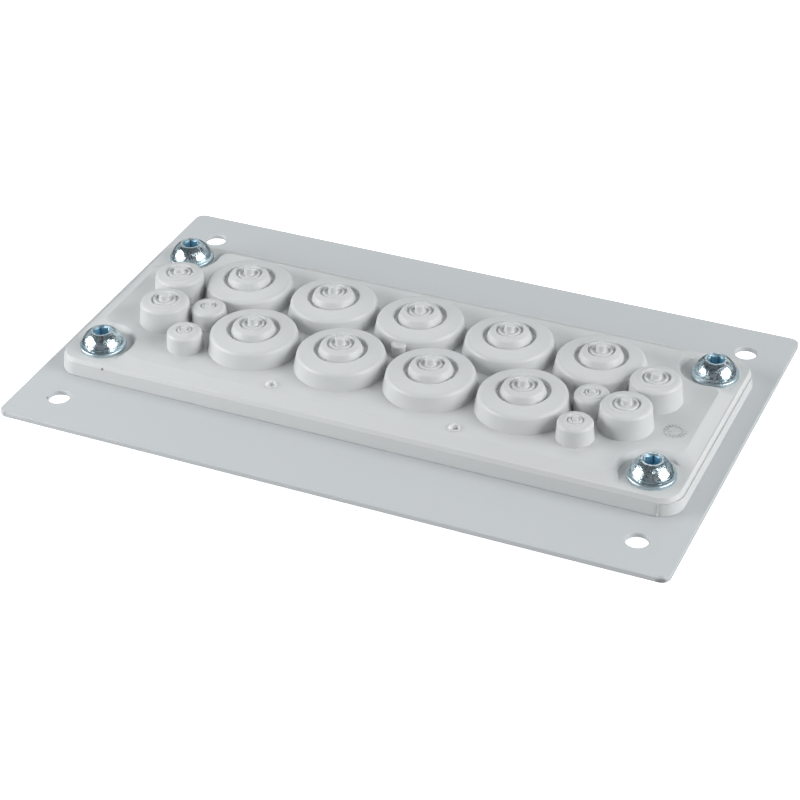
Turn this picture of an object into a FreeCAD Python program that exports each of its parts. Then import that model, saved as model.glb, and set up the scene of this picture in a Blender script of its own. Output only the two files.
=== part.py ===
import FreeCAD, Part
import math
import os

os.makedirs("parts", exist_ok=True)

# Steel plate: the origin is the centre of its underside, +X along its long side
plate_length = 250.0
plate_width = 152.0
plate_thick = 2.0
plate_corner_r = 3.5
plate_edge_r = 0.35
fixing_inset = 16.0
fixing_hole_d = 8.0

# Elastomer moulding: a rim clamped on the plate around a window, with a margin of bare plate left round it
moulding_shift_x = -0.6
moulding_margin_x = 6.5
moulding_margin_y = 30.0
moulding_corner_r = 8.5
rim_thick = 6.8
rim_seam_h = 5.2
rim_seam_inset = 0.7
rim_top_inset = 1.5
rim_edge_r = 0.4
rim_foot_r = 0.35
seat_land_x = 14.5
seat_land_y = 12.0
window_corner_r = 24.0
spigot_depth = 1.5
spigot_wall = 2.0
spigot_clear = 0.5

# Raised pad between the four screw pockets
pad_rise = 2.2
pad_foot_inset = 2.3
pad_slope_run = 4.3
pad_edge_r = 1.0
pad_wall = 3.5
pocket_foot_r = 10.8
pocket_wall_run = 1.4
lobe_foot_r = 3.5
lobe_top_r = 4.0

# Entry side wall and thin top skin, common to all entries
entry_wall = 1.6
entry_skin = 0.8

# Large entries: heights are above the pad
large_back_count = 5
large_front_count = 4
large_pitch = 34.75
large_row_inset = 30.7
large_base_d = 34.2
large_shoulder_d = 31.2
large_shoulder_h = 6.2
large_shoulder_r = 2.0
large_ring_rise = 1.2
large_groove_d = 18.8
large_groove_w = 1.05
large_groove_edge_r = 0.5
large_groove_depth = 1.6
large_cone_top_d = 14.3
large_cone_h = 8.8
large_cone_r = 1.1
large_crown_h = 9.8
large_recess_d = 10.0
large_slot_w = 1.1
large_slot_depth = 1.2
large_cup_drop = 0.3
large_cup_depth = 0.6
large_peg_d = 3.2
large_peg_proud = 2.0

# Medium entries: each spot is measured from the moulding's end and from its centre line
medium_spots = ((25.0, 6.6), (29.2, -12.3))
medium_group_shift_x = -0.8
medium_base_d = 19.4
medium_shoulder_d = 17.8
medium_shoulder_h = 8.55
medium_shoulder_r = 1.6
medium_step_d = 12.6
medium_crown_h = 9.5
medium_recess_d = 10.2
medium_slot_w = 1.1
medium_slot_depth = 1.0
medium_cup_drop = 0.1
medium_cup_depth = 0.5
medium_peg_d = 3.3
medium_peg_proud = 1.5

# Small entries, placed like the medium ones
small_spots = ((44.0, -7.6), (43.5, -25.4))
small_base_d = 13.4
small_shoulder_d = 12.5
small_shoulder_h = 6.8
small_shoulder_r = 1.6
small_step_d = 8.6
small_crown_h = 7.55
small_recess_d = 6.2
small_slot_w = 0.8
small_slot_depth = 0.9
small_cup_drop = 0.1
small_cup_depth = 0.4
small_peg_d = 1.8
small_peg_proud = 0.8

# Cup around each peg, draft and small roundings of the crowns, and the fine step around one
cup_wall = 0.7
crown_draft = 0.3
crown_edge_r = 0.25
step_h = 0.15

# Gate stub near the middle, two pits on the front strip and the bare tick dial at the right end
stub_x = -1.3
stub_y = -0.9
stub_d = 5.6
stub_h = 4.5
stub_edge_r = 0.5
stub_dish_d = 3.8
stub_dish_depth = 0.5
pit_spacing = 70.0
pit_inset = 10.0
pit_d = 3.4
pit_depth = 1.3
pit_ring_d = 4.8
pit_ring_h = 0.3
tick_ring_inset = 13.2
tick_ring_y = -9.1
tick_ring_d = 8.2
tick_count = 18
tick_length = 1.7
tick_width = 0.45
tick_h = 0.25
pointer_length = 3.6
pointer_width = 0.7
pointer_turn = 28.0

# Flanged dome head screws with hexagon socket; each stands a little off the even pattern
screw_inset_x = 13.5
screw_inset_y = 12.5
screw_offsets = {
    "front_left": (0.2, 0.0),
    "front_right": (0.2, 0.0),
    "back_right": (1.3, -1.3),
    "back_left": (0.5, 0.3),
}
thread_d = 8.0
thread_clear = 0.05
hole_clear = 0.5
thread_length = 16.0
thread_chamfer = 0.8
flange_d = 17.0
flange_thick = 1.2
flange_edge_r = 0.5
neck_foot_d = 14.8
neck_foot_h = 1.6
neck_d = 14.2
neck_r = 0.6
dome_d = 14.8
dome_foot_h = 2.8
head_top_d = 7.8
head_h = 6.7
socket_flats = 5.0
socket_depth = 4.0
socket_rim_d = 6.4
socket_rim_angle = 90.0
socket_drill_angle = 118.0
screw_turns = {"front_left": 12.0, "front_right": 40.0, "back_right": 25.0, "back_left": 3.0}

# Hexagon nuts under the plate
nut_flats = 13.0
nut_height = 6.5
nut_bearing_d = 11.8
nut_chamfer_angle = 30.0
nut_bore_chamfer = 0.5

# Heights and places that follow from the sizes above
moulding_length = plate_length - 2 * moulding_margin_x
moulding_width = plate_width - 2 * moulding_margin_y
seam_height = plate_thick + rim_seam_h
rim_top = plate_thick + rim_thick
pad_top = rim_top + pad_rise
cavity_top = pad_top - pad_wall
spigot_low = plate_thick - spigot_depth
window_length = moulding_length - 2 * seat_land_x
window_width = moulding_width - 2 * seat_land_y
screw_x = moulding_length / 2 - screw_inset_x
screw_y = moulding_width / 2 - screw_inset_y
screw_hole_d = thread_d + 2 * hole_clear
nut_bore_d = thread_d + 2 * thread_clear
screw_sides = {
    "front_left": (-1, -1),
    "front_right": (1, -1),
    "back_right": (1, 1),
    "back_left": (-1, 1),
}
screw_spots = {}
for corner_name, (side_x, side_y) in screw_sides.items():
    offset_x, offset_y = screw_offsets[corner_name]
    screw_spots[corner_name] = (moulding_shift_x + side_x * screw_x + offset_x,
                                side_y * screw_y + offset_y)

# Cutters reach this far past the faces that they open, and added lumps sink this far in
overshoot = 1.0
sink = 0.5

UP = FreeCAD.Vector(0, 0, 1)
ORIGIN = FreeCAD.Vector(0, 0, 0)


def arc_points(x, y, radius, start, end):
    """First, middle and last point of the arc about (x, y), between two angles in degrees."""
    angles = [math.radians(angle) for angle in (start, (start + end) / 2, end)]
    return [(x + radius * math.cos(angle), y + radius * math.sin(angle)) for angle in angles]


def outline(arcs, height, centre_x):
    """Closed level wire through the arcs in turn, with straight edges between them."""
    edges = []
    for arc, following in zip(arcs, arcs[1:] + arcs[:1]):
        points = [FreeCAD.Vector(centre_x + x, y, height) for x, y in arc]
        onward = FreeCAD.Vector(centre_x + following[0][0], following[0][1], height)
        edges.append(Part.Arc(*points).toShape())
        if not points[2].isEqual(onward, 1e-6):
            edges.append(Part.LineSegment(points[2], onward).toShape())
    return Part.Wire(edges)


def rounded_outline(length, width, radius, height, centre_x=0.0):
    """Level rectangle with rounded corners."""
    reach_x = length / 2 - radius
    reach_y = width / 2 - radius
    arcs = [
        arc_points(reach_x, reach_y, radius, 0, 90),
        arc_points(-reach_x, reach_y, radius, 90, 180),
        arc_points(-reach_x, -reach_y, radius, 180, 270),
        arc_points(reach_x, -reach_y, radius, 270, 360),
    ]
    return outline(arcs, height, centre_x)


def rounded_block(length, width, radius, low, high, centre_x=0.0):
    """Upright block with rounded corners, between two heights."""
    face = Part.Face(rounded_outline(length, width, radius, low, centre_x))
    return face.extrude(FreeCAD.Vector(0, 0, high - low))


def turned(corners):
    """Solid of revolution about Z; each corner is (radius, height) or (radius, height, rounding)."""
    points = [FreeCAD.Vector(corner[0], 0, corner[1]) for corner in corners]
    roundings = [corner[2] if len(corner) > 2 else 0 for corner in corners]
    starts, ends, arcs = [], [], []
    for index, point in enumerate(points):
        back = (points[index - 1] - point).normalize()
        onward = (points[(index + 1) % len(points)] - point).normalize()
        rounding = roundings[index]
        half = back.getAngle(onward) / 2
        reach = rounding / math.tan(half)
        starts.append(point + back * reach)
        ends.append(point + onward * reach)
        if rounding:
            inward = (back + onward).normalize()
            middle = point + inward * (rounding / math.sin(half) - rounding)
            arcs.append(Part.Arc(starts[-1], middle, ends[-1]).toShape())
        else:
            arcs.append(None)
    edges = []
    for index, arc in enumerate(arcs):
        onward = starts[(index + 1) % len(points)]
        if arc:
            edges.append(arc)
        if not ends[index].isEqual(onward, 1e-6):
            edges.append(Part.LineSegment(ends[index], onward).toShape())
    return Part.Face(Part.Wire(edges)).revolve(ORIGIN, UP, 360)


def rod(diameter, low, high, x=0.0, y=0.0):
    """Upright cylinder between two heights."""
    return Part.makeCylinder(diameter / 2, high - low, FreeCAD.Vector(x, y, low))


def hexagon(flats, low, high):
    """Upright hexagonal prism between two heights."""
    corner = flats / math.sqrt(3)
    ring = [FreeCAD.Vector(corner, 0, low)]
    for side in range(1, 7):
        angle = math.radians(60 * side)
        ring.append(FreeCAD.Vector(corner * math.cos(angle), corner * math.sin(angle), low))
    return Part.Face(Part.makePolygon(ring)).extrude(FreeCAD.Vector(0, 0, high - low))


def moved(shape, x, y, z=0.0):
    """Copy of a shape, shifted."""
    copy = shape.copy()
    copy.translate(FreeCAD.Vector(x, y, z))
    return copy


def level_edges(shape, height):
    """Edges of a shape that lie at one height."""
    found = []
    for edge in shape.Edges:
        box = edge.BoundBox
        if abs(box.ZMin - height) < 1e-4 and abs(box.ZMax - height) < 1e-4:
            found.append(edge)
    return found


def pad_outline(inset, pocket_r, lobe_r, height):
    """Pad outline at one height: a rectangle with a round pocket bitten out of each corner."""
    half_x = moulding_length / 2 - inset
    half_y = moulding_width / 2 - inset
    side_x = half_x - lobe_r
    side_y = screw_y - math.sqrt((pocket_r + lobe_r) ** 2 - (side_x - screw_x) ** 2)
    end_y = half_y - lobe_r
    end_x = screw_x - math.sqrt((pocket_r + lobe_r) ** 2 - (end_y - screw_y) ** 2)
    side_angle = math.degrees(math.atan2(screw_y - side_y, screw_x - side_x))
    end_angle = math.degrees(math.atan2(screw_y - end_y, screw_x - end_x))
    quarter = [
        arc_points(side_x, side_y, lobe_r, 0, side_angle),
        arc_points(screw_x, screw_y, pocket_r, side_angle + 180, end_angle + 180),
        arc_points(end_x, end_y, lobe_r, end_angle, 90),
    ]
    arcs = []
    for sign_x, sign_y in ((1, 1), (-1, 1), (-1, -1), (1, -1)):
        corner = [[(sign_x * x, sign_y * y) for x, y in arc] for arc in quarter]
        if sign_x != sign_y:
            corner = [arc[::-1] for arc in corner[::-1]]
        arcs += corner
    return outline(arcs, height, moulding_shift_x)


def crown(top, recess_d, slot_w, slot_depth, cup_drop, cup_depth, peg_d, peg_proud):
    """Corners of an entry's centre, inward from the recess edge: slot, cup and peg."""
    recess_r = recess_d / 2
    cup_r = recess_r - slot_w
    slot_floor = top - slot_depth
    cup_top = top - cup_drop
    cup_floor = cup_top - cup_depth
    return [
        (recess_r, top, crown_edge_r),
        (recess_r - crown_draft, slot_floor),
        (cup_r + crown_draft, slot_floor),
        (cup_r, cup_top, crown_edge_r),
        (cup_r - cup_wall, cup_top, crown_edge_r),
        (cup_r - cup_wall - crown_draft, cup_floor),
        (peg_d / 2 + crown_draft, cup_floor),
        (peg_d / 2, top + peg_proud, crown_edge_r),
        (0, top + peg_proud),
    ]


def plain_entry(base_d, shoulder_d, shoulder_h, shoulder_r, step_d, centre):
    """Outside of a medium or small entry, with its foot at height 0."""
    recess_r, crown_h = centre[0][0], centre[0][1]
    rise = crown_h - step_h - shoulder_h
    share = (shoulder_d - step_d) / (shoulder_d - 2 * recess_r)
    step_foot = shoulder_h + rise * share
    return turned([
        (0, -sink),
        (base_d / 2, -sink),
        (base_d / 2, 0),
        (shoulder_d / 2, shoulder_h, shoulder_r),
        (step_d / 2, step_foot),
        (step_d / 2, step_foot + step_h),
    ] + centre)


def plain_hollow(base_d, shoulder_d, crown_h, slot_depth):
    """Inside of a medium or small entry, open to the cavity below."""
    skin_low = crown_h - slot_depth - entry_skin
    return turned([
        (0, cavity_top - pad_top - overshoot),
        (base_d / 2 - entry_wall, cavity_top - pad_top - overshoot),
        (base_d / 2 - entry_wall, 0),
        (shoulder_d / 2 - entry_wall, skin_low, entry_skin),
        (0, skin_low),
    ])


def large_entry(centre):
    """Outside of a large entry: wall, rising ring, groove and cone."""
    groove_top = large_shoulder_h + large_ring_rise
    groove_floor = groove_top - large_groove_depth
    return turned([
        (0, -sink),
        (large_base_d / 2, -sink),
        (large_base_d / 2, 0),
        (large_shoulder_d / 2, large_shoulder_h, large_shoulder_r),
        (large_groove_d / 2, groove_top, large_groove_edge_r),
        (large_groove_d / 2, groove_floor),
        (large_groove_d / 2 - large_groove_w, groove_floor),
        (large_cone_top_d / 2, large_cone_h, large_cone_r),
    ] + centre)


def large_hollow():
    """Inside of a large entry, open to the cavity below."""
    ring_low = large_shoulder_h + large_ring_rise - large_groove_depth - entry_skin
    cone_low = large_crown_h - large_slot_depth - entry_skin
    return turned([
        (0, cavity_top - pad_top - overshoot),
        (large_base_d / 2 - entry_wall, cavity_top - pad_top - overshoot),
        (large_base_d / 2 - entry_wall, 0),
        (large_shoulder_d / 2 - entry_wall, ring_low, entry_skin),
        (large_groove_d / 2 - large_groove_w - entry_wall, ring_low),
        (large_cone_top_d / 2 - entry_wall, cone_low),
        (0, cone_low),
    ])


def large_places():
    """Centres of the large entries, the back row first."""
    row_y = moulding_width / 2 - large_row_inset
    places = []
    for count, y in ((large_back_count, row_y), (large_front_count, -row_y)):
        for index in range(count):
            places.append((moulding_shift_x + (index - (count - 1) / 2) * large_pitch, y))
    return places


def end_places(spots, shift_x=0.0):
    """Centres of entries that stand the same way at both ends."""
    places = []
    for inset, y in spots:
        for side in (-1, 1):
            x = moulding_shift_x + shift_x + side * (moulding_length / 2 - inset)
            places.append((x, y))
    return places


def flange_plate():
    """Plate with rounded corners, window, fixing holes and screw holes."""
    plate = rounded_block(plate_length, plate_width, plate_corner_r, 0, plate_thick)
    plate = plate.cut(rounded_block(window_length, window_width, window_corner_r,
                                    -overshoot, plate_thick + overshoot, moulding_shift_x))
    fixing_x = plate_length / 2 - fixing_inset
    fixing_y = plate_width / 2 - fixing_inset
    holes = []
    for side_x in (-1, 1):
        for side_y in (-1, 1):
            holes.append(rod(fixing_hole_d, -overshoot, plate_thick + overshoot,
                             side_x * fixing_x, side_y * fixing_y))
    for x, y in screw_spots.values():
        holes.append(rod(screw_hole_d, -overshoot, plate_thick + overshoot, x, y))
    plate = plate.cut(holes)
    edges = level_edges(plate, 0) + level_edges(plate, plate_thick)
    return plate.makeFillet(plate_edge_r, edges)


def entry_membrane():
    """One-piece moulding: rim, pad, entries and the small marks on the pad."""
    rim = rim_body()
    pad = Part.makeLoft([
        pad_outline(pad_foot_inset, pocket_foot_r, lobe_foot_r, rim_top),
        pad_outline(pad_foot_inset + pad_slope_run, pocket_foot_r + pocket_wall_run,
                    lobe_top_r, pad_top),
    ], True, True)
    pad = pad.makeFillet(pad_edge_r, level_edges(pad, pad_top))
    spigot = rounded_block(window_length - 2 * spigot_clear, window_width - 2 * spigot_clear,
                           window_corner_r - spigot_clear, spigot_low, plate_thick,
                           moulding_shift_x)

    large = large_entry(crown(large_crown_h, large_recess_d, large_slot_w, large_slot_depth,
                              large_cup_drop, large_cup_depth, large_peg_d,
                              large_peg_proud))
    medium = plain_entry(medium_base_d, medium_shoulder_d, medium_shoulder_h, medium_shoulder_r,
                         medium_step_d, crown(medium_crown_h, medium_recess_d, medium_slot_w,
                                              medium_slot_depth, medium_cup_drop,
                                              medium_cup_depth, medium_peg_d,
                                              medium_peg_proud))
    small = plain_entry(small_base_d, small_shoulder_d, small_shoulder_h, small_shoulder_r,
                        small_step_d, crown(small_crown_h, small_recess_d, small_slot_w,
                                            small_slot_depth, small_cup_drop,
                                            small_cup_depth, small_peg_d,
                                            small_peg_proud))
    kinds = [
        (large, large_hollow(), large_places()),
        (medium, plain_hollow(medium_base_d, medium_shoulder_d, medium_crown_h,
                              medium_slot_depth), end_places(medium_spots, medium_group_shift_x)),
        (small, plain_hollow(small_base_d, small_shoulder_d, small_crown_h,
                             small_slot_depth), end_places(small_spots)),
    ]
    lumps = [pad, spigot, gate_stub()] + pit_rings() + tick_dial()
    wall = spigot_clear + spigot_wall
    cuts = [rounded_block(window_length - 2 * wall, window_width - 2 * wall,
                          window_corner_r - wall, spigot_low - overshoot, cavity_top,
                          moulding_shift_x)]
    for outside, inside, places in kinds:
        lumps += [moved(outside, x, y, pad_top) for x, y in places]
        cuts += [moved(inside, x, y, pad_top) for x, y in places]
    for x, y in screw_spots.values():
        cuts.append(rod(screw_hole_d, plate_thick - overshoot, rim_top + overshoot, x, y))
    for x in pit_places():
        cuts.append(rod(pit_d, pad_top - pit_depth, pad_top + overshoot, x, pit_row_y()))
    return rim.fuse(lumps).cut(cuts).removeSplitter()


def rim_body():
    """Rim as a solid block: drafted wall up to the seam, then a bevel up to the ledge."""
    sections = []
    for inset, height in ((0, plate_thick), (rim_seam_inset, seam_height), (rim_top_inset, rim_top)):
        sections.append(rounded_outline(moulding_length - 2 * inset, moulding_width - 2 * inset,
                                        moulding_corner_r - inset, height, moulding_shift_x))
    rim = Part.makeLoft(sections, True, True)
    rim = rim.makeFillet(rim_foot_r, level_edges(rim, plate_thick))
    return rim.makeFillet(rim_edge_r, level_edges(rim, seam_height) + level_edges(rim, rim_top))


def gate_stub():
    """Short dished stub between the two rows of large entries."""
    stub = turned([
        (0, -sink),
        (stub_d / 2, -sink),
        (stub_d / 2, stub_h, stub_edge_r),
        (stub_dish_d / 2, stub_h),
        (0, stub_h - stub_dish_depth),
    ])
    return moved(stub, moulding_shift_x + stub_x, stub_y, pad_top)


def pit_row_y():
    """Line of the two pits, along the front of the pad."""
    return pit_inset - moulding_width / 2


def pit_places():
    """Places of the two pits along the moulding."""
    return [moulding_shift_x + side * pit_spacing / 2 for side in (-1, 1)]


def pit_rings():
    """Low raised ring around each pit."""
    return [rod(pit_ring_d, pad_top - sink, pad_top + pit_ring_h, x, pit_row_y())
            for x in pit_places()]


def tick_dial():
    """Ring of short raised ticks with a bar as pointer in its middle."""
    bars = []
    for index in range(tick_count):
        bars.append(low_bar(tick_ring_d / 2 - tick_length, tick_length, tick_width,
                            index * 360 / tick_count))
    bars.append(low_bar(-pointer_length / 2, pointer_length, pointer_width, pointer_turn))
    centre_x = moulding_shift_x + moulding_length / 2 - tick_ring_inset
    return [moved(bar, centre_x, tick_ring_y, pad_top) for bar in bars]


def low_bar(start, length, width, turn):
    """Raised bar along a line through the origin, turned by an angle in degrees."""
    bar = Part.makeBox(length, width, tick_h + sink, FreeCAD.Vector(start, -width / 2, -sink))
    bar.rotate(ORIGIN, UP, turn)
    return bar


def dome_centre_h():
    """Height of the ball centre whose surface holds both the dome's foot and its flat top."""
    foot_r, top_r = dome_d / 2, head_top_d / 2
    return (head_h ** 2 + top_r ** 2 - dome_foot_h ** 2 - foot_r ** 2) / (2 * (head_h - dome_foot_h))


def screw(turn):
    """Screw with its bearing face at height 0, its socket turned by an angle in degrees."""
    thread_r = thread_d / 2
    body = turned([
        (0, -thread_length),
        (thread_r - thread_chamfer, -thread_length),
        (thread_r, thread_chamfer - thread_length),
        (thread_r, 0),
        (flange_d / 2, 0),
        (flange_d / 2, flange_thick, flange_edge_r),
        (neck_foot_d / 2, neck_foot_h),
        (neck_d / 2, (neck_foot_h + dome_foot_h) / 2, neck_r),
        (dome_d / 2, dome_foot_h),
        (0, dome_foot_h),
    ])
    centre_h = dome_centre_h()
    ball = Part.makeSphere(math.hypot(head_top_d / 2, head_h - centre_h),
                           FreeCAD.Vector(0, 0, centre_h))
    dome = ball.common(rod(dome_d, dome_foot_h, head_h))
    drill_r = socket_flats / 2
    drill_depth = drill_r / math.tan(math.radians(socket_drill_angle / 2))
    rim_slope = math.tan(math.radians(socket_rim_angle / 2))
    socket = hexagon(socket_flats, head_h - socket_depth, head_h + overshoot)
    socket = socket.fuse([
        turned([
            (0, head_h - socket_depth - drill_depth),
            (drill_r, head_h - socket_depth),
            (0, head_h - socket_depth),
        ]),
        turned([
            (0, head_h - socket_rim_d / 2 / rim_slope),
            (socket_rim_d / 2 + overshoot * rim_slope, head_h + overshoot),
            (0, head_h + overshoot),
        ]),
    ])
    socket.rotate(ORIGIN, UP, turn)
    return body.fuse(dome).cut(socket).removeSplitter()


def nut():
    """Hexagon nut with its top face at height 0."""
    bearing_r = nut_bearing_d / 2
    corner_r = nut_flats / math.sqrt(3) + overshoot
    drop = (corner_r - bearing_r) * math.tan(math.radians(nut_chamfer_angle))
    envelope = turned([
        (0, -nut_height),
        (bearing_r, -nut_height),
        (corner_r, drop - nut_height),
        (corner_r, -drop),
        (bearing_r, 0),
        (0, 0),
    ])
    bore_r = nut_bore_d / 2
    bore = turned([
        (0, -nut_height - overshoot),
        (bore_r + nut_bore_chamfer + overshoot, -nut_height - overshoot),
        (bore_r, nut_bore_chamfer - nut_height),
        (bore_r, -nut_bore_chamfer),
        (bore_r + nut_bore_chamfer + overshoot, overshoot),
        (0, overshoot),
    ])
    return hexagon(nut_flats, -nut_height, 0).common(envelope).cut(bore)


def save(shape, name):
    """Write one piece, which is one closed solid."""
    solid = shape.Solids[0]
    solid.exportStep("parts/" + name + ".step")


save(flange_plate(), "flange_plate")
save(entry_membrane(), "entry_membrane")
for corner_name, (spot_x, spot_y) in screw_spots.items():
    save(moved(screw(screw_turns[corner_name]), spot_x, spot_y, rim_top), "screw_" + corner_name)
    save(moved(nut(), spot_x, spot_y), "nut_" + corner_name)
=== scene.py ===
"""Looks of the cable entry plate: finishes, mould flash, marks of use, studio and camera."""

import logging
import math
from collections.abc import Callable, Mapping, Sequence
from dataclasses import dataclass, field
from enum import Enum
from typing import Any

import bmesh
import bpy
from mathutils import Matrix, Vector

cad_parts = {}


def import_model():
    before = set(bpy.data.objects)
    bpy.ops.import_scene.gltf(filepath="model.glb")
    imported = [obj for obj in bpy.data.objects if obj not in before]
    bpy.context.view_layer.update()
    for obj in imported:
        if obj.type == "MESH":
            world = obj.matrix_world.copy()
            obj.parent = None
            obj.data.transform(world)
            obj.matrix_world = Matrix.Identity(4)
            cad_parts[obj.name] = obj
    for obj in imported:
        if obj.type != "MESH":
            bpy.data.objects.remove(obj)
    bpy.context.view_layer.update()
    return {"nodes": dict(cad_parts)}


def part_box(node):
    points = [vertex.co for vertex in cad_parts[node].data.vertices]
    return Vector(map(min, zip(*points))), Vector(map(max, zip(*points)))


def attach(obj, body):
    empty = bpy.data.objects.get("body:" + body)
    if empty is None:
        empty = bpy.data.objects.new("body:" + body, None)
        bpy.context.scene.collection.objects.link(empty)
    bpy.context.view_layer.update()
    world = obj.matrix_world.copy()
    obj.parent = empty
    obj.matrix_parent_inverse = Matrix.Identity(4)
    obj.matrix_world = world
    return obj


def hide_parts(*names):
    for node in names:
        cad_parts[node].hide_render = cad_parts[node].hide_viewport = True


log = logging.getLogger("cable_entry_plate")

MM = 0.001
SMOOTH_ANGLE = math.radians(32)
METAL_SMOOTH_ANGLE = math.radians(22)
MERGE_DISTANCE = 0.002 * MM


class Slot(Enum):
    """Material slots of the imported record."""

    PLATE = "plate_coating"
    MOULDING = "membrane_elastomer"
    FASTENER = "zinc_steel"


class Corner(Enum):
    """The four corners of the moulding that carry a screw and a nut."""

    FRONT_LEFT = "front_left"
    FRONT_RIGHT = "front_right"
    BACK_RIGHT = "back_right"
    BACK_LEFT = "back_left"


Colour = tuple[float, float, float]

WHITE: Colour = (1.0, 1.0, 1.0)


def rgba(colour: Colour) -> tuple[float, float, float, float]:
    """Returns the colour with full opacity."""
    return (*colour, 1.0)


class Value:
    """A number in a shader that takes part in Python arithmetic, one Math node per operator."""

    def __init__(self, recipe: "Recipe", socket: bpy.types.NodeSocket) -> None:
        """Keeps the recipe that the socket belongs to."""
        self.recipe = recipe
        self.socket = socket

    def _math(self, operation: str, first: Any, second: Any) -> "Value":
        """Returns the result of one Math node.

        Args:
            operation: Blender's name of the operation.
            first: Left operand, a Value or a number.
            second: Right operand, a Value or a number.

        Returns:
            The new value.
        """
        made = self.recipe.node("ShaderNodeMath", {"operation": operation}, {0: first, 1: second})
        return Value(self.recipe, made.outputs[0])

    def __add__(self, other: Any) -> "Value":
        """Returns self + other."""
        return self._math("ADD", self, other)

    def __radd__(self, other: Any) -> "Value":
        """Returns other + self."""
        return self._math("ADD", other, self)

    def __sub__(self, other: Any) -> "Value":
        """Returns self - other."""
        return self._math("SUBTRACT", self, other)

    def __rsub__(self, other: Any) -> "Value":
        """Returns other - self."""
        return self._math("SUBTRACT", other, self)

    def __mul__(self, other: Any) -> "Value":
        """Returns self * other."""
        return self._math("MULTIPLY", self, other)

    def __pow__(self, other: Any) -> "Value":
        """Returns self ** other."""
        return self._math("POWER", self, other)

    def above(self, edge: float, softness: float) -> "Value":
        """Returns a soft step that is 1 where this value is above the edge.

        Args:
            edge: Middle of the step.
            softness: Half the width of the step.

        Returns:
            The step, from 0 to 1.
        """
        made = self.recipe.node(
            "ShaderNodeMapRange",
            {"interpolation_type": "SMOOTHSTEP"},
            {"Value": self, "From Min": edge - softness, "From Max": edge + softness},
        )
        return Value(self.recipe, made.outputs["Result"])

    def below(self, edge: float, softness: float) -> "Value":
        """Returns a soft step that is 1 where this value is below the edge."""
        return 1.0 - self.above(edge, softness)

    def wave(self, length: float) -> "Value":
        """Returns a sine wave from -1 to 1 along this value.

        Args:
            length: Distance from crest to crest.

        Returns:
            The wave.
        """
        return self._math("SINE", self * (2.0 * math.pi / length), 0.0)


@dataclass(frozen=True)
class Mark:
    """One small round mark on a surface; place and radius in millimetres."""

    place: tuple[float, float, float]
    radius: float
    strength: float


@dataclass(frozen=True)
class Grain:
    """A cloud noise, the soft step that turns it into patches, and the share a finish takes."""

    per_metre: float
    detail: float
    edge: float = 0.5
    softness: float = 0.5
    share: float = 1.0


@dataclass(frozen=True)
class Specks:
    """Scattered round specks; radius in cells, chance is the share of cells that have one."""

    per_metre: float
    radius: float
    chance: float
    strength: float


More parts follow.
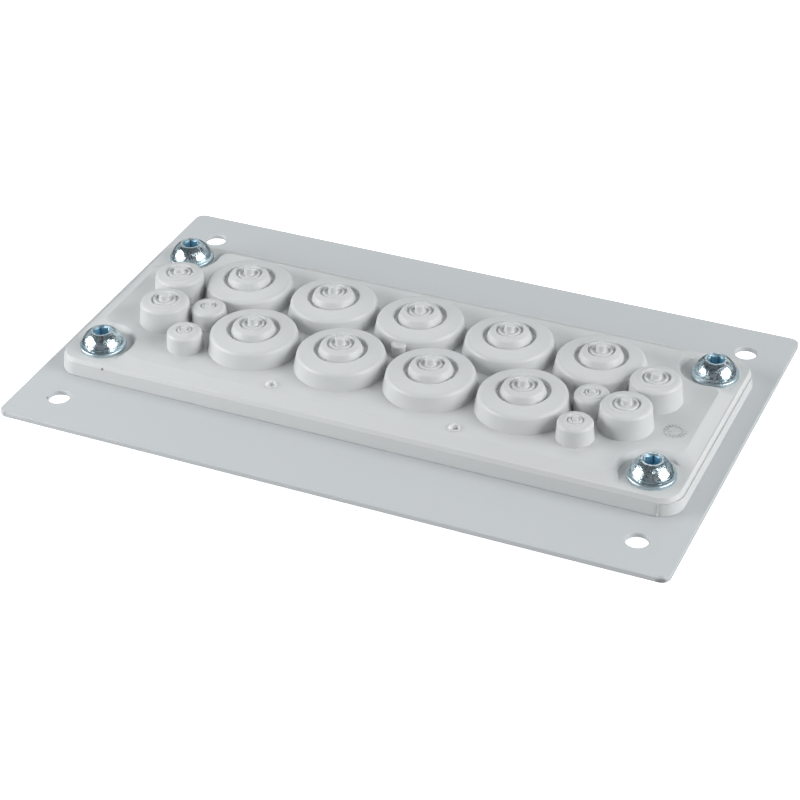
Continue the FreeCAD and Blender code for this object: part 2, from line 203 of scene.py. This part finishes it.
class Recipe:
    """One material's node tree, with a method for every kind of node that the finishes need."""

    RAGGED_CELLS = 0.6
    RAGGED_SHARE = 1.1
    MARK_SOFTNESS = 0.45
    SPECK_SOFTNESS = 0.4
    CHANCE_SOFTNESS = 0.001
    RECESS_SAMPLES = 12

    def __init__(self, name: str) -> None:
        """Makes an empty material with a Principled shader.

        Args:
            name: Name of the material.
        """
        self.material = bpy.data.materials.new(name)
        self.material.use_nodes = True
        self.tree = self.material.node_tree
        self.shader = self.tree.nodes["Principled BSDF"]
        self.place = self.node("ShaderNodeTexCoord").outputs["Object"]

    def put(self, socket: bpy.types.NodeSocket, value: Any) -> None:
        """Sets a socket to a number, a colour or a link.

        Args:
            socket: The input that is set.
            value: A Value, an output socket, a number or a tuple.
        """
        if isinstance(value, Value):
            value = value.socket
        if isinstance(value, bpy.types.NodeSocket):
            self.tree.links.new(value, socket)
        else:
            socket.default_value = value

    def node(
        self,
        kind: str,
        settings: Mapping[str, Any] | None = None,
        inputs: Mapping[str | int, Any] | None = None,
    ) -> bpy.types.Node:
        """Adds a node.

        Args:
            kind: Blender's node type.
            settings: The node's own settings, which are set first.
            inputs: Values or links by the socket's name or number.

        Returns:
            The new node.
        """
        made = self.tree.nodes.new(kind)
        for key, value in (settings or {}).items():
            setattr(made, key, value)
        for key, value in (inputs or {}).items():
            self.put(made.inputs[key], value)
        return made

    def grain(self, kind: Grain) -> Value:
        """Returns a cloud noise round 0.5.

        Args:
            kind: Size and detail of the noise.

        Returns:
            The noise.
        """
        made = self.node(
            "ShaderNodeTexNoise",
            None,
            {"Vector": self.place, "Scale": kind.per_metre, "Detail": kind.detail},
        )
        return Value(self, made.outputs["Fac"])

    def patches(self, kind: Grain) -> Value:
        """Returns the grain's share on soft patches of its noise and 0 between them."""
        return self.grain(kind).above(kind.edge, kind.softness) * kind.share

    def spread(self, kind: Grain) -> Value:
        """Returns the grain's noise round 0, at its share."""
        return (self.grain(kind) - 0.5) * kind.share

    def specks(self, kind: Specks) -> Value:
        """Returns scattered round specks.

        Args:
            kind: Size, number and strength of the specks.

        Returns:
            The strength on a speck and 0 elsewhere.
        """
        cells = self.node(
            "ShaderNodeTexVoronoi", None, {"Vector": self.place, "Scale": kind.per_metre}
        )
        split = self.node("ShaderNodeSeparateColor", None, {"Color": cells.outputs["Color"]})
        chosen = Value(self, split.outputs[0]).below(kind.chance, self.CHANCE_SOFTNESS)
        apart = Value(self, cells.outputs["Distance"])
        round_speck = apart.below(kind.radius, kind.radius * self.SPECK_SOFTNESS)
        return round_speck * chosen * kind.strength

    def spot(self, mark: Mark) -> Value:
        """Returns one mark with an uneven edge.

        Args:
            mark: Place, size and strength of the mark.

        Returns:
            The strength on the mark and 0 elsewhere.
        """
        place = tuple(value * MM for value in mark.place)
        radius = mark.radius * MM
        apart = self.node(
            "ShaderNodeVectorMath", {"operation": "DISTANCE"}, {0: self.place, 1: place}
        )
        ragged = Grain(self.RAGGED_CELLS / radius, 2.0, share=self.RAGGED_SHARE * radius)
        edge = Value(self, apart.outputs["Value"]) + self.spread(ragged)
        return edge.below(radius, radius * self.MARK_SOFTNESS) * mark.strength

    def marked(self, base: Any, marks: Sequence[Mark], colour: Colour) -> Any:
        """Returns a colour with marks on it.

        Args:
            base: Colour or colour socket under the marks.
            marks: The marks.
            colour: Colour of every mark.

        Returns:
            The colour output of the last Mix node.
        """
        for mark in marks:
            base = self.blend(self.spot(mark), base, rgba(colour))
        return base

    def recess(self, reach: float) -> Value:
        """Returns how deep a point lies in a narrow recess.

        Args:
            reach: Distance in metres within which other walls count.

        Returns:
            0 on an open surface and towards 1 at the bottom of a groove.
        """
        made = self.node(
            "ShaderNodeAmbientOcclusion",
            {"samples": self.RECESS_SAMPLES, "only_local": True},
            {"Distance": reach},
        )
        return 1.0 - Value(self, made.outputs["AO"])

    def axis(self, letter: str) -> Value:
        """Returns the X, Y or Z of the surface point in metres."""
        split = self.node("ShaderNodeSeparateXYZ", None, {"Vector": self.place})
        return Value(self, split.outputs[letter])

    def blend(self, mask: Value, first: Any, second: Any) -> bpy.types.NodeSocket:
        """Returns a colour between two others.

        Args:
            mask: 0 for the first colour and 1 for the second.
            first: Colour or colour socket.
            second: Colour or colour socket.

        Returns:
            The colour output of the Mix node.
        """
        made = self.node(
            "ShaderNodeMix", {"data_type": "RGBA"}, {"Factor": mask, 6: first, 7: second}
        )
        return made.outputs[2]

    def relief(self, height: Value, depth: float, under: Any = None) -> bpy.types.NodeSocket:
        """Returns a normal that follows a height.

        Args:
            height: Height from 0 to 1.
            depth: Size of a height of 1, in metres.
            under: Normal output of an earlier relief, or None.

        Returns:
            The normal output of the Bump node.
        """
        inputs = {"Height": height, "Distance": depth, "Strength": 1.0}
        if under is not None:
            inputs["Normal"] = under
        return self.node("ShaderNodeBump", None, inputs).outputs["Normal"]

    def shade(self, values: Mapping[str, Any]) -> bpy.types.Material:
        """Sets sockets of the Principled shader.

        Args:
            values: Values or links by the socket's name.

        Returns:
            The finished material.
        """
        for key, value in values.items():
            self.put(self.shader.inputs[key], value)
        return self.material


@dataclass(frozen=True)
class PowderCoat:
    """Pale grey powder coat with an orange-peel skin."""

    name: str = "powder coat, pale grey"
    colour: Colour = (0.496, 0.519, 0.536)
    deep_colour: Colour = (0.475, 0.497, 0.514)
    speck_colour: Colour = (0.36, 0.38, 0.39)
    bare_colour: Colour = (0.17, 0.18, 0.18)
    cloud: Grain = Grain(14.0, 3.0, 0.55, 0.35, 0.35)
    specks: Specks = Specks(160.0, 0.05, 0.06, 0.7)
    peel: Grain = Grain(620.0, 1.5)
    peel_depth: float = 0.018 * MM
    roughness: float = 0.36
    sheen: Grain = Grain(60.0, 4.0, share=0.12)
    refraction: float = 1.5
    chips: tuple[Mark, ...] = (
        Mark((-112.35, -61.80, 2.0), 0.66, 1.00),
        Mark((-111.45, -61.05, 2.0), 0.52, 0.95),
        Mark((-121.80, -76.00, 1.9), 0.75, 0.35),
        Mark((122.50, -75.60, 0.2), 1.60, 0.75),
    )

    def make(self) -> bpy.types.Material:
        """Returns the material."""
        mix = Recipe(self.name)
        base = mix.blend(mix.patches(self.cloud), rgba(self.colour), rgba(self.deep_colour))
        base = mix.blend(mix.specks(self.specks), base, rgba(self.speck_colour))
        base = mix.marked(base, self.chips, self.bare_colour)
        return mix.shade(
            {
                "Base Color": base,
                "Roughness": self.roughness + mix.spread(self.sheen),
                "Normal": mix.relief(mix.grain(self.peel), self.peel_depth),
                "IOR": self.refraction,
            }
        )


@dataclass(frozen=True)
class Elastomer:
    """Soft moulded light grey elastomer with a satin skin; painted light makes its grooves on the
    crowns and its pin mark floors paler.
    """

    name: str = "elastomer, light grey"
    colour: Colour = (0.566, 0.580, 0.580)
    deep_colour: Colour = (0.540, 0.550, 0.553)
    speck_colour: Colour = (0.40, 0.41, 0.40)
    dirt_colour: Colour = (0.10, 0.10, 0.10)
    cloud: Grain = Grain(22.0, 4.0, 0.55, 0.3, 0.4)
    specks: Specks = Specks(140.0, 0.045, 0.05, 0.6)
    skin: Grain = Grain(1500.0, 2.0)
    skin_waves: Grain = Grain(90.0, 2.0, share=4.0)
    skin_depth: float = 0.012 * MM
    roughness: float = 0.42
    sheen: Grain = Grain(70.0, 3.0, share=0.14)
    refraction: float = 1.48
    # Painted light: a near-white colour is laid into the grooves of the crowns, where the occlusion
    # mask finds a recess.
    painted_groove_light_colour: Colour = (0.84, 0.85, 0.84)
    painted_groove_light_share: float = 0.6
    painted_groove_light_reach: float = 1.6 * MM
    painted_groove_light_edge: float = 0.46
    painted_groove_light_softness: float = 0.30
    painted_light_crown_floor: float = 14.5 * MM
    painted_light_crown_softness: float = 0.5 * MM
    # Painted light: the floors of the two pin marks are painted near white.
    painted_light_pit_floor_colour: Colour = (0.93, 0.94, 0.93)
    painted_light_pit_floors: tuple[Mark, ...] = (
        Mark((-35.6, -36.0, 9.4), 2.05, 1.0),
        Mark((34.4, -36.0, 9.4), 2.05, 1.0),
    )
    dirt: tuple[Mark, ...] = (
        Mark((-99.20, -45.25, 7.2), 0.52, 0.90),
        Mark((118.15, 33.50, 4.5), 0.50, 0.70),
    )

    def make(self) -> bpy.types.Material:
        """Returns the material."""
        mix = Recipe(self.name)
        # Painted light: the occlusion mask, kept to the crowns, marks the grooves that are painted
        # paler.
        painted_light_groove = mix.recess(self.painted_groove_light_reach).above(self.painted_groove_light_edge, self.painted_groove_light_softness)
        painted_light_crown = mix.axis("Z").above(self.painted_light_crown_floor, self.painted_light_crown_softness)
        base = mix.blend(mix.patches(self.cloud), rgba(self.colour), rgba(self.deep_colour))
        base = mix.blend(mix.specks(self.specks), base, rgba(self.speck_colour))
        # Painted light in the grooves of the crowns.
        base = mix.blend(painted_light_groove * painted_light_crown * self.painted_groove_light_share, base, rgba(self.painted_groove_light_colour))
        # Painted light on the floors of the pin marks.
        base = mix.marked(base, self.painted_light_pit_floors, self.painted_light_pit_floor_colour)
        base = mix.marked(base, self.dirt, self.dirt_colour)
        skin = mix.grain(self.skin) + mix.grain(self.skin_waves) * self.skin_waves.share
        return mix.shade(
            {
                "Base Color": base,
                "Roughness": self.roughness + mix.spread(self.sheen),
                "Normal": mix.relief(skin, self.skin_depth),
                "IOR": self.refraction,
            }
        )


@dataclass(frozen=True)
class BrightZinc:
    """Cloudy blue zinc on a screw or nut, rougher and plainer below the top of the flange."""

    name: str
    centre: tuple[float, float]
    threaded: bool
    colour: Colour = (0.64, 0.76, 0.79)
    blue: Colour = (0.46, 0.62, 0.70)
    dull: Colour = (0.56, 0.52, 0.64)
    cloud: Grain = Grain(230.0, 3.0, 0.5, 0.16, 0.55)
    wear: Grain = Grain(420.0, 5.0, 0.60, 0.06, 0.5)
    roughness: float = 0.19
    wear_roughness: Grain = Grain(420.0, 5.0, 0.58, 0.10, 0.12)
    flange_top: float = 10.3 * MM
    flange_softness: float = 0.4 * MM
    flange_colour: Colour = (0.50, 0.61, 0.65)
    flange_share: float = 0.8
    flange_roughness: float = 0.20
    flange_evenness: float = 0.85
    head_floor: float = 11.0 * MM
    head_softness: float = 0.1 * MM
    socket_radius: float = 2.75 * MM
    socket_softness: float = 0.12 * MM
    socket_colour: Colour = (0.36, 0.62, 0.76)
    socket_roughness: float = 0.30
    chamfer_radius: float = 3.25 * MM
    chamfer_softness: float = 0.05 * MM
    # Painted shade: the chamfer at the mouth of the socket is painted dark, which dims the
    # reflections in it.
    painted_shade_chamfer_colour: Colour = (0.18, 0.26, 0.30)
    painted_shade_chamfer_share: float = 0.85
    pits: Grain = Grain(900.0, 2.0, 0.60, 0.05, 0.8)
    pit_colour: Colour = (0.20, 0.19, 0.25)
    dimples: Grain = Grain(2300.0, 1.0)
    waves: Grain = Grain(650.0, 1.0, share=3.0)
    dimple_depth: float = 0.050 * MM
    thread_top: float = -0.5 * MM
    thread_pitch: float = 1.25 * MM
    thread_depth: float = 0.30 * MM

    def make(self) -> bpy.types.Material:
        """Returns the material."""
        mix = Recipe(self.name)
        height = mix.axis("Z")
        aside = (mix.axis("X") - self.centre[0]) ** 2 + (mix.axis("Y") - self.centre[1]) ** 2
        radius = aside**0.5
        head = height.above(self.head_floor, self.head_softness)
        flange = height.below(self.flange_top, self.flange_softness)
        socket = radius.below(self.socket_radius, self.socket_softness) * head
        chamfer = radius.below(self.chamfer_radius, self.chamfer_softness) * head
        pits = mix.patches(self.pits) * (1.0 - flange)
        base = mix.blend(mix.patches(self.cloud), rgba(self.colour), rgba(self.blue))
        base = mix.blend(mix.patches(self.wear), base, rgba(self.dull))
        base = mix.blend(flange * self.flange_share, base, rgba(self.flange_colour))
        base = mix.blend(pits, base, rgba(self.pit_colour))
        # Painted shade on the socket's chamfer.
        base = mix.blend(chamfer * self.painted_shade_chamfer_share, base, rgba(self.painted_shade_chamfer_colour))
        base = mix.blend(socket, base, rgba(self.socket_colour))
        bumps = mix.grain(self.dimples) + mix.grain(self.waves) * self.waves.share
        normal = mix.relief(bumps * (1.0 - flange * self.flange_evenness), self.dimple_depth)
        if self.threaded:
            ridges = height.wave(self.thread_pitch) * height.below(
                self.thread_top, self.head_softness
            )
            normal = mix.relief(ridges, self.thread_depth, normal)
        return mix.shade(
            {
                "Base Color": base,
                "Metallic": 1.0,
                "Roughness": self.roughness
                + flange * self.flange_roughness
                + chamfer * self.socket_roughness
                + mix.patches(self.wear_roughness),
                "Normal": normal,
            }
        )


@dataclass(frozen=True)
class StudioPaper:
    """Matt white paper of the floor, with a glow that keeps it pale under the plate."""

    name: str = "studio paper"
    colour: Colour = (0.93, 0.93, 0.93)
    glow: float = 0.80

    def make(self) -> bpy.types.Material:
        """Returns the material."""
        return Recipe(self.name).shade(
            {
                "Base Color": rgba(self.colour),
                "Roughness": 1.0,
                "Specular IOR Level": 0.0,
                "Emission Color": rgba(WHITE),
                "Emission Strength": self.glow,
            }
        )


def clear_selection() -> None:
    """Leaves object mode with nothing selected."""
    if bpy.context.object is not None and bpy.context.object.mode != "OBJECT":
        bpy.ops.object.mode_set(mode="OBJECT")
    bpy.ops.object.select_all(action="DESELECT")


def dress(piece: bpy.types.Object, material: bpy.types.Material) -> None:
    """Gives a piece its only material.

    Args:
        piece: Mesh object.
        material: Finish of the whole piece.
    """
    piece.data.materials.clear()
    piece.data.materials.append(material)


def apply_modifier(piece: bpy.types.Object, kind: str, settings: Mapping[str, Any]) -> None:
    """Adds a modifier to a piece and applies it.

    Args:
        piece: The mesh object.
        kind: Blender's modifier type.
        settings: Settings of the modifier.
    """
    modifier = piece.modifiers.new(kind.lower(), kind)
    for key, value in settings.items():
        setattr(modifier, key, value)
    bpy.ops.object.modifier_apply(modifier=modifier.name)


def smooth_copy(node: str, piece_name: str, angle: float) -> bpy.types.Object:
    """Copies a CAD node as one closed, smoothly shaded mesh that stands for it.

    Args:
        node: Name of the CAD node.
        piece_name: Name of the new piece.
        angle: Edges sharper than this stay sharp.

    Returns:
        The new piece, riding on the fixed body.
    """
    clear_selection()
    source = bpy.data.objects[node]
    piece = source.copy()
    piece.data = source.data.copy()
    piece.name = piece_name
    piece.parent = None
    for key in list(piece.keys()):
        del piece[key]
    bpy.context.scene.collection.objects.link(piece)
    piece.select_set(True)
    bpy.context.view_layer.objects.active = piece
    bpy.ops.object.mode_set(mode="EDIT")
    bpy.ops.mesh.select_all(action="SELECT")
    bpy.ops.mesh.remove_doubles(threshold=MERGE_DISTANCE)
    bpy.ops.mesh.customdata_custom_splitnormals_clear()
    bpy.ops.object.mode_set(mode="OBJECT")
    bpy.ops.object.shade_smooth_by_angle(angle=angle)
    apply_modifier(piece, "WEIGHTED_NORMAL", {"keep_sharp": True})
    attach(piece, "root")
    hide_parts(node)
    return piece


def new_plane(name: str) -> bpy.types.Object:
    """Returns a new plane, 1 m square at the origin, in edit mode with everything selected."""
    clear_selection()
    bpy.ops.mesh.primitive_plane_add(size=1.0)
    piece = bpy.context.object
    piece.name = name
    bpy.ops.object.mode_set(mode="EDIT")
    bpy.ops.mesh.select_all(action="SELECT")
    return piece


def pick_faces(piece: bpy.types.Object, wanted: Callable[[bmesh.types.BMFace], bool]) -> None:
    """Selects faces of a mesh in edit mode.

    Args:
        piece: The mesh object.
        wanted: Tells from a face's place or normal whether it is selected.
    """
    mesh = bmesh.from_edit_mesh(piece.data)
    for face in mesh.faces:
        face.select_set(wanted(face))
    mesh.select_flush_mode()
    bmesh.update_edit_mesh(piece.data)


def close_piece(piece: bpy.types.Object, material: bpy.types.Material) -> None:
    """Turns the normals outward and finishes a new piece.

    Args:
        piece: The mesh object, in object mode.
        material: Finish of the whole piece.
    """
    bpy.ops.object.mode_set(mode="EDIT")
    bpy.ops.mesh.select_all(action="SELECT")
    bpy.ops.mesh.normals_make_consistent(inside=False)
    bpy.ops.object.mode_set(mode="OBJECT")
    bpy.ops.object.shade_smooth_by_angle(angle=SMOOTH_ANGLE)
    dress(piece, material)
    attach(piece, "root")


def finished_copy(node: str, slot: Slot, material: bpy.types.Material) -> bpy.types.Object:
    """Returns a dressed copy that stands for a CAD node."""
    angle = METAL_SMOOTH_ANGLE if slot is Slot.FASTENER else SMOOTH_ANGLE
    piece = smooth_copy(node, f"{node}_finished", angle)
    dress(piece, material)
    log.info("dressed %s", node)
    return piece


@dataclass
class CoatedPlate:
    """Powder-coated sheet plate with its holes."""

    node: str = "flange_plate"
    finish: PowderCoat = field(default_factory=PowderCoat)

    def build(self) -> bpy.types.Object:
        """Returns the dressed plate."""
        return finished_copy(self.node, Slot.PLATE, self.finish.make())


@dataclass
class Moulding:
    """Elastomer moulding with the flash that its mould left; lengths in metres."""

    node: str = "entry_membrane"
    finish: Elastomer = field(default_factory=Elastomer)
    seam_length: float = 235.6 * MM
    seam_width: float = 90.6 * MM
    seam_corner: float = 7.8 * MM
    seam_height: float = 7.2 * MM
    seam_steps: int = 14
    flash_height: float = 0.14 * MM
    flash_proud: float = 0.05 * MM
    flash_root: float = 0.35 * MM
    flash_rounding: float = 0.042 * MM
    line_x: float = 111.0 * MM
    line_foot: tuple[float, float] = (-46.0 * MM, 2.5 * MM)
    line_top: tuple[float, float] = (-45.35 * MM, 7.0 * MM)
    line_width: float = 0.40 * MM
    line_depth: float = 0.36 * MM
    line_proud: float = 0.12 * MM
    line_taper: tuple[float, float, float] = (0.6, 0.8, 1.0)
    line_shoulder: float = 0.08 * MM
    line_crown: float = 0.048 * MM

    def build_seam_flash(self, material: bpy.types.Material) -> bpy.types.Object:
        """Makes the thin bead along the mould's parting line, all round the rim.

        Args:
            material: The elastomer.

        Returns:
            The bead.
        """
        piece = new_plane("seam_flash")
        length = self.seam_length + 2 * self.flash_proud
        width = self.seam_width + 2 * self.flash_proud
        corner = self.seam_corner + self.flash_proud
        foot = self.seam_height - self.flash_height / 2
        bpy.ops.transform.resize(value=(length, width, 1.0))
        bpy.ops.mesh.bevel(offset=corner, segments=self.seam_steps, affect="VERTICES")
        bpy.ops.mesh.select_all(action="SELECT")
        bpy.ops.transform.translate(value=(0, 0, foot))
        bpy.ops.mesh.delete(type="ONLY_FACE")
        bpy.ops.mesh.select_all(action="SELECT")
        bpy.ops.mesh.extrude_region_move(
            TRANSFORM_OT_translate={"value": (0, 0, self.flash_height)}
        )
        bpy.ops.mesh.select_all(action="SELECT")
        bpy.ops.mesh.normals_make_consistent(inside=False)
        bpy.ops.object.mode_set(mode="OBJECT")
        thick = self.flash_proud + self.flash_root
        wall = {"thickness": thick, "offset": -1.0, "use_even_offset": True}
        rounding = {"width": self.flash_rounding, "segments": 2, "limit_method": "ANGLE"}
        apply_modifier(piece, "SOLIDIFY", wall)
        apply_modifier(piece, "BEVEL", rounding)
        close_piece(piece, material)
        return piece

    def build_insert_line(self, material: bpy.types.Material) -> bpy.types.Object:
        """Makes the short upright line that a joint of the mould left on the front wall.

        Args:
            material: The elastomer.

        Returns:
            The line.
        """
        piece = new_plane("insert_line")
        lean = self.line_top[0] - self.line_foot[0]
        rise = self.line_top[1] - self.line_foot[1]
        place = (self.line_x, self.line_foot[0] + self.line_proud / 2, self.line_foot[1])
        bpy.ops.transform.resize(value=(self.line_width, self.line_depth, 1.0))
        bpy.ops.transform.translate(value=place)
        bpy.ops.mesh.extrude_region_move(TRANSFORM_OT_translate={"value": (0, lean, rise)})
        bpy.ops.transform.resize(value=self.line_taper)
        pick_faces(piece, lambda face: abs(face.normal.z) < 0.5 and face.normal.y < -0.5)
        bpy.ops.mesh.inset(thickness=self.line_shoulder, depth=self.line_crown)
        bpy.ops.object.mode_set(mode="OBJECT")
        close_piece(piece, material)
        return piece

    def build(self) -> list[bpy.types.Object]:
        """Returns the dressed moulding and its two flash marks."""
        material = self.finish.make()
        return [
            finished_copy(self.node, Slot.MOULDING, material),
            self.build_seam_flash(material),
            self.build_insert_line(material),
        ]


@dataclass
class Fastener:
    """One flanged screw and its nut."""

    corner: Corner

    def finish(self, node: str, threaded: bool) -> bpy.types.Material:
        """Makes the zinc finish of a screw or a nut, centred on its axis.

        Args:
            node: Name of the CAD node.
            threaded: Whether the node has an outer thread.

        Returns:
            The material.
        """
        low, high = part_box(node)
        centre = ((low.x + high.x) / 2, (low.y + high.y) / 2)
        return BrightZinc(f"bright zinc, {node}", centre, threaded).make()

    def build(self) -> list[bpy.types.Object]:
        """Returns the dressed screw and nut."""
        screw, nut = f"screw_{self.corner.value}", f"nut_{self.corner.value}"
        return [
            finished_copy(screw, Slot.FASTENER, self.finish(screw, True)),
            finished_copy(nut, Slot.FASTENER, self.finish(nut, False)),
        ]


def towards(azimuth: float, elevation: float) -> Vector:
    """Returns the direction from the plate to a place in the studio.

    Args:
        azimuth: Turn in degrees, 0 in front of the plate and 90 at its right.
        elevation: Angle above the floor in degrees.

    Returns:
        The direction, one metre long.
    """
    turn, lift = math.radians(azimuth), math.radians(elevation)
    return Vector(
        (math.sin(turn) * math.cos(lift), -math.cos(turn) * math.cos(lift), math.sin(lift))
    )


@dataclass
class Viewpoint:
    """Camera at the photograph's angle; lengths in metres, turns in degrees."""

    azimuth: float = 24.922
    elevation: float = 34.285
    roll: float = -1.483
    aim: tuple[float, float] = (3.583 * MM, -12.873 * MM)
    distance: float = 811.655 * MM
    focal_pixels: float = 2276.066
    frame_pixels: float = 800.0
    sensor: float = 36.0
    clip: tuple[float, float] = (0.01, 20.0)

    def build(self) -> bpy.types.Object:
        """Makes the scene's camera.

        Returns:
            The camera object.
        """
        turn, roll = math.radians(self.azimuth), math.radians(self.roll)
        back = towards(self.azimuth, self.elevation)
        right = Vector((math.cos(turn), math.sin(turn), 0.0))
        up = back.cross(right)
        rolled_right = right * math.cos(roll) + up * math.sin(roll)
        rolled_up = up * math.cos(roll) - right * math.sin(roll)
        placed = Matrix((rolled_right, rolled_up, back)).transposed().to_4x4()
        placed.translation = Vector((*self.aim, 0.0)) + back * self.distance
        clear_selection()
        bpy.ops.object.camera_add()
        camera = bpy.context.object
        camera.name = "camera"
        camera.matrix_world = placed
        camera.data.sensor_width = self.sensor
        camera.data.lens = self.sensor * self.focal_pixels / self.frame_pixels
        camera.data.clip_start, camera.data.clip_end = self.clip
        bpy.context.scene.camera = camera
        return camera


@dataclass
class Softbox:
    """One flat studio light; turns in degrees, lengths in metres, power in watts."""

    name: str
    azimuth: float
    elevation: float
    distance: float
    width: float
    height: float
    power: float
    colour: Colour = WHITE

    def build(self) -> bpy.types.Object:
        """Makes the light, aimed at the plate.

        Returns:
            The light object.
        """
        place = towards(self.azimuth, self.elevation) * self.distance
        clear_selection()
        bpy.ops.object.light_add(type="AREA", location=place)
        light = bpy.context.object
        light.name = self.name
        light.rotation_euler = place.to_track_quat("Z", "Y").to_euler()
        light.data.shape = "RECTANGLE"
        light.data.size = self.width
        light.data.size_y = self.height
        light.data.energy = self.power
        light.data.color = self.colour
        return light


@dataclass
class PaperBounce:
    """Light that the white paper throws up at the plate's edges; lengths in metres."""

    centre: tuple[float, float] = (-0.15, -0.20)
    height: float = -7.1 * MM
    size: float = 1.40
    power: float = 3.9

    def build(self) -> bpy.types.Object:
        """Returns the light, which faces up and isn't seen itself."""
        clear_selection()
        bpy.ops.object.light_add(type="AREA", location=(*self.centre, self.height))
        light = bpy.context.object
        light.name = "paper_bounce"
        light.rotation_euler = (math.pi, 0.0, 0.0)
        light.data.shape = "SQUARE"
        light.data.size = self.size
        light.data.energy = self.power
        light.visible_camera = False
        light.visible_glossy = False
        return light


COOL: Colour = (0.94, 0.98, 1.0)
CYAN: Colour = (0.90, 0.98, 1.0)
ROSE: Colour = (1.0, 0.93, 1.0)


@dataclass
class Studio:
    """Pale floor, soft lights and the room's own light; a row of boxes follows Softbox's fields."""

    floor_size: float = 6.0
    floor_height: float = -7.2 * MM
    room_colour: Colour = (0.92, 0.97, 1.0)
    room_strength: float = 0.12
    boxes: Sequence[Softbox] = (
        Softbox("softbox_left", -60.0, 21.0, 0.85, 0.64, 0.44, 7.6),
        Softbox("softbox_right", 89.0, 26.0, 1.40, 1.06, 0.82, 20.5),
        Softbox("softbox_above", 205.0, 56.0, 1.50, 1.10, 0.62, 2.4),
        Softbox("panel_behind", 190.0, 36.0, 2.35, 3.00, 2.60, 13.0, COOL),
        Softbox("panel_back_right", 145.0, 14.0, 2.40, 1.60, 1.20, 2.2, CYAN),
        Softbox("panel_back_left", -115.0, 14.0, 2.40, 1.60, 1.20, 2.2, CYAN),
        Softbox("panel_front", 14.0, 26.0, 1.70, 1.50, 1.10, 0.60, ROSE),
        Softbox("lamp_front", 41.0, 52.0, 1.40, 0.07, 0.13, 0.30),
        Softbox("lamp_right", 80.0, 56.0, 1.40, 0.10, 0.14, 0.45),
    )

    def build_floor(self) -> bpy.types.Object:
        """Makes the floor.

        Returns:
            The floor object.
        """
        clear_selection()
        bpy.ops.mesh.primitive_plane_add(size=self.floor_size, location=(0, 0, self.floor_height))
        floor = bpy.context.object
        floor.name = "floor"
        dress(floor, StudioPaper().make())
        floor.visible_diffuse = False
        floor.visible_glossy = False
        return floor

    def build_room(self) -> None:
        """Sets the room's light and the plain colour transform."""
        world = bpy.data.worlds.new("studio_room")
        world.use_nodes = True
        background = world.node_tree.nodes["Background"]
        background.inputs["Color"].default_value = rgba(self.room_colour)
        background.inputs["Strength"].default_value = self.room_strength
        bpy.context.scene.world = world
        bpy.context.scene.view_settings.view_transform = "Standard"

    def build(self) -> None:
        """Makes the whole studio."""
        self.build_floor()
        self.build_room()
        for box in self.boxes:
            box.build()
        PaperBounce().build()


def main() -> None:
    """Builds the looks in order and reports each piece."""
    logging.basicConfig(level=logging.INFO, format="%(name)s: %(message)s")
    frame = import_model()
    log.info("loaded %d nodes", len(frame["nodes"]))
    CoatedPlate().build()
    Moulding().build()
    for corner in Corner:
        Fastener(corner).build()
    Studio().build()
    Viewpoint().build()


if __name__ == "__main__":
    main()
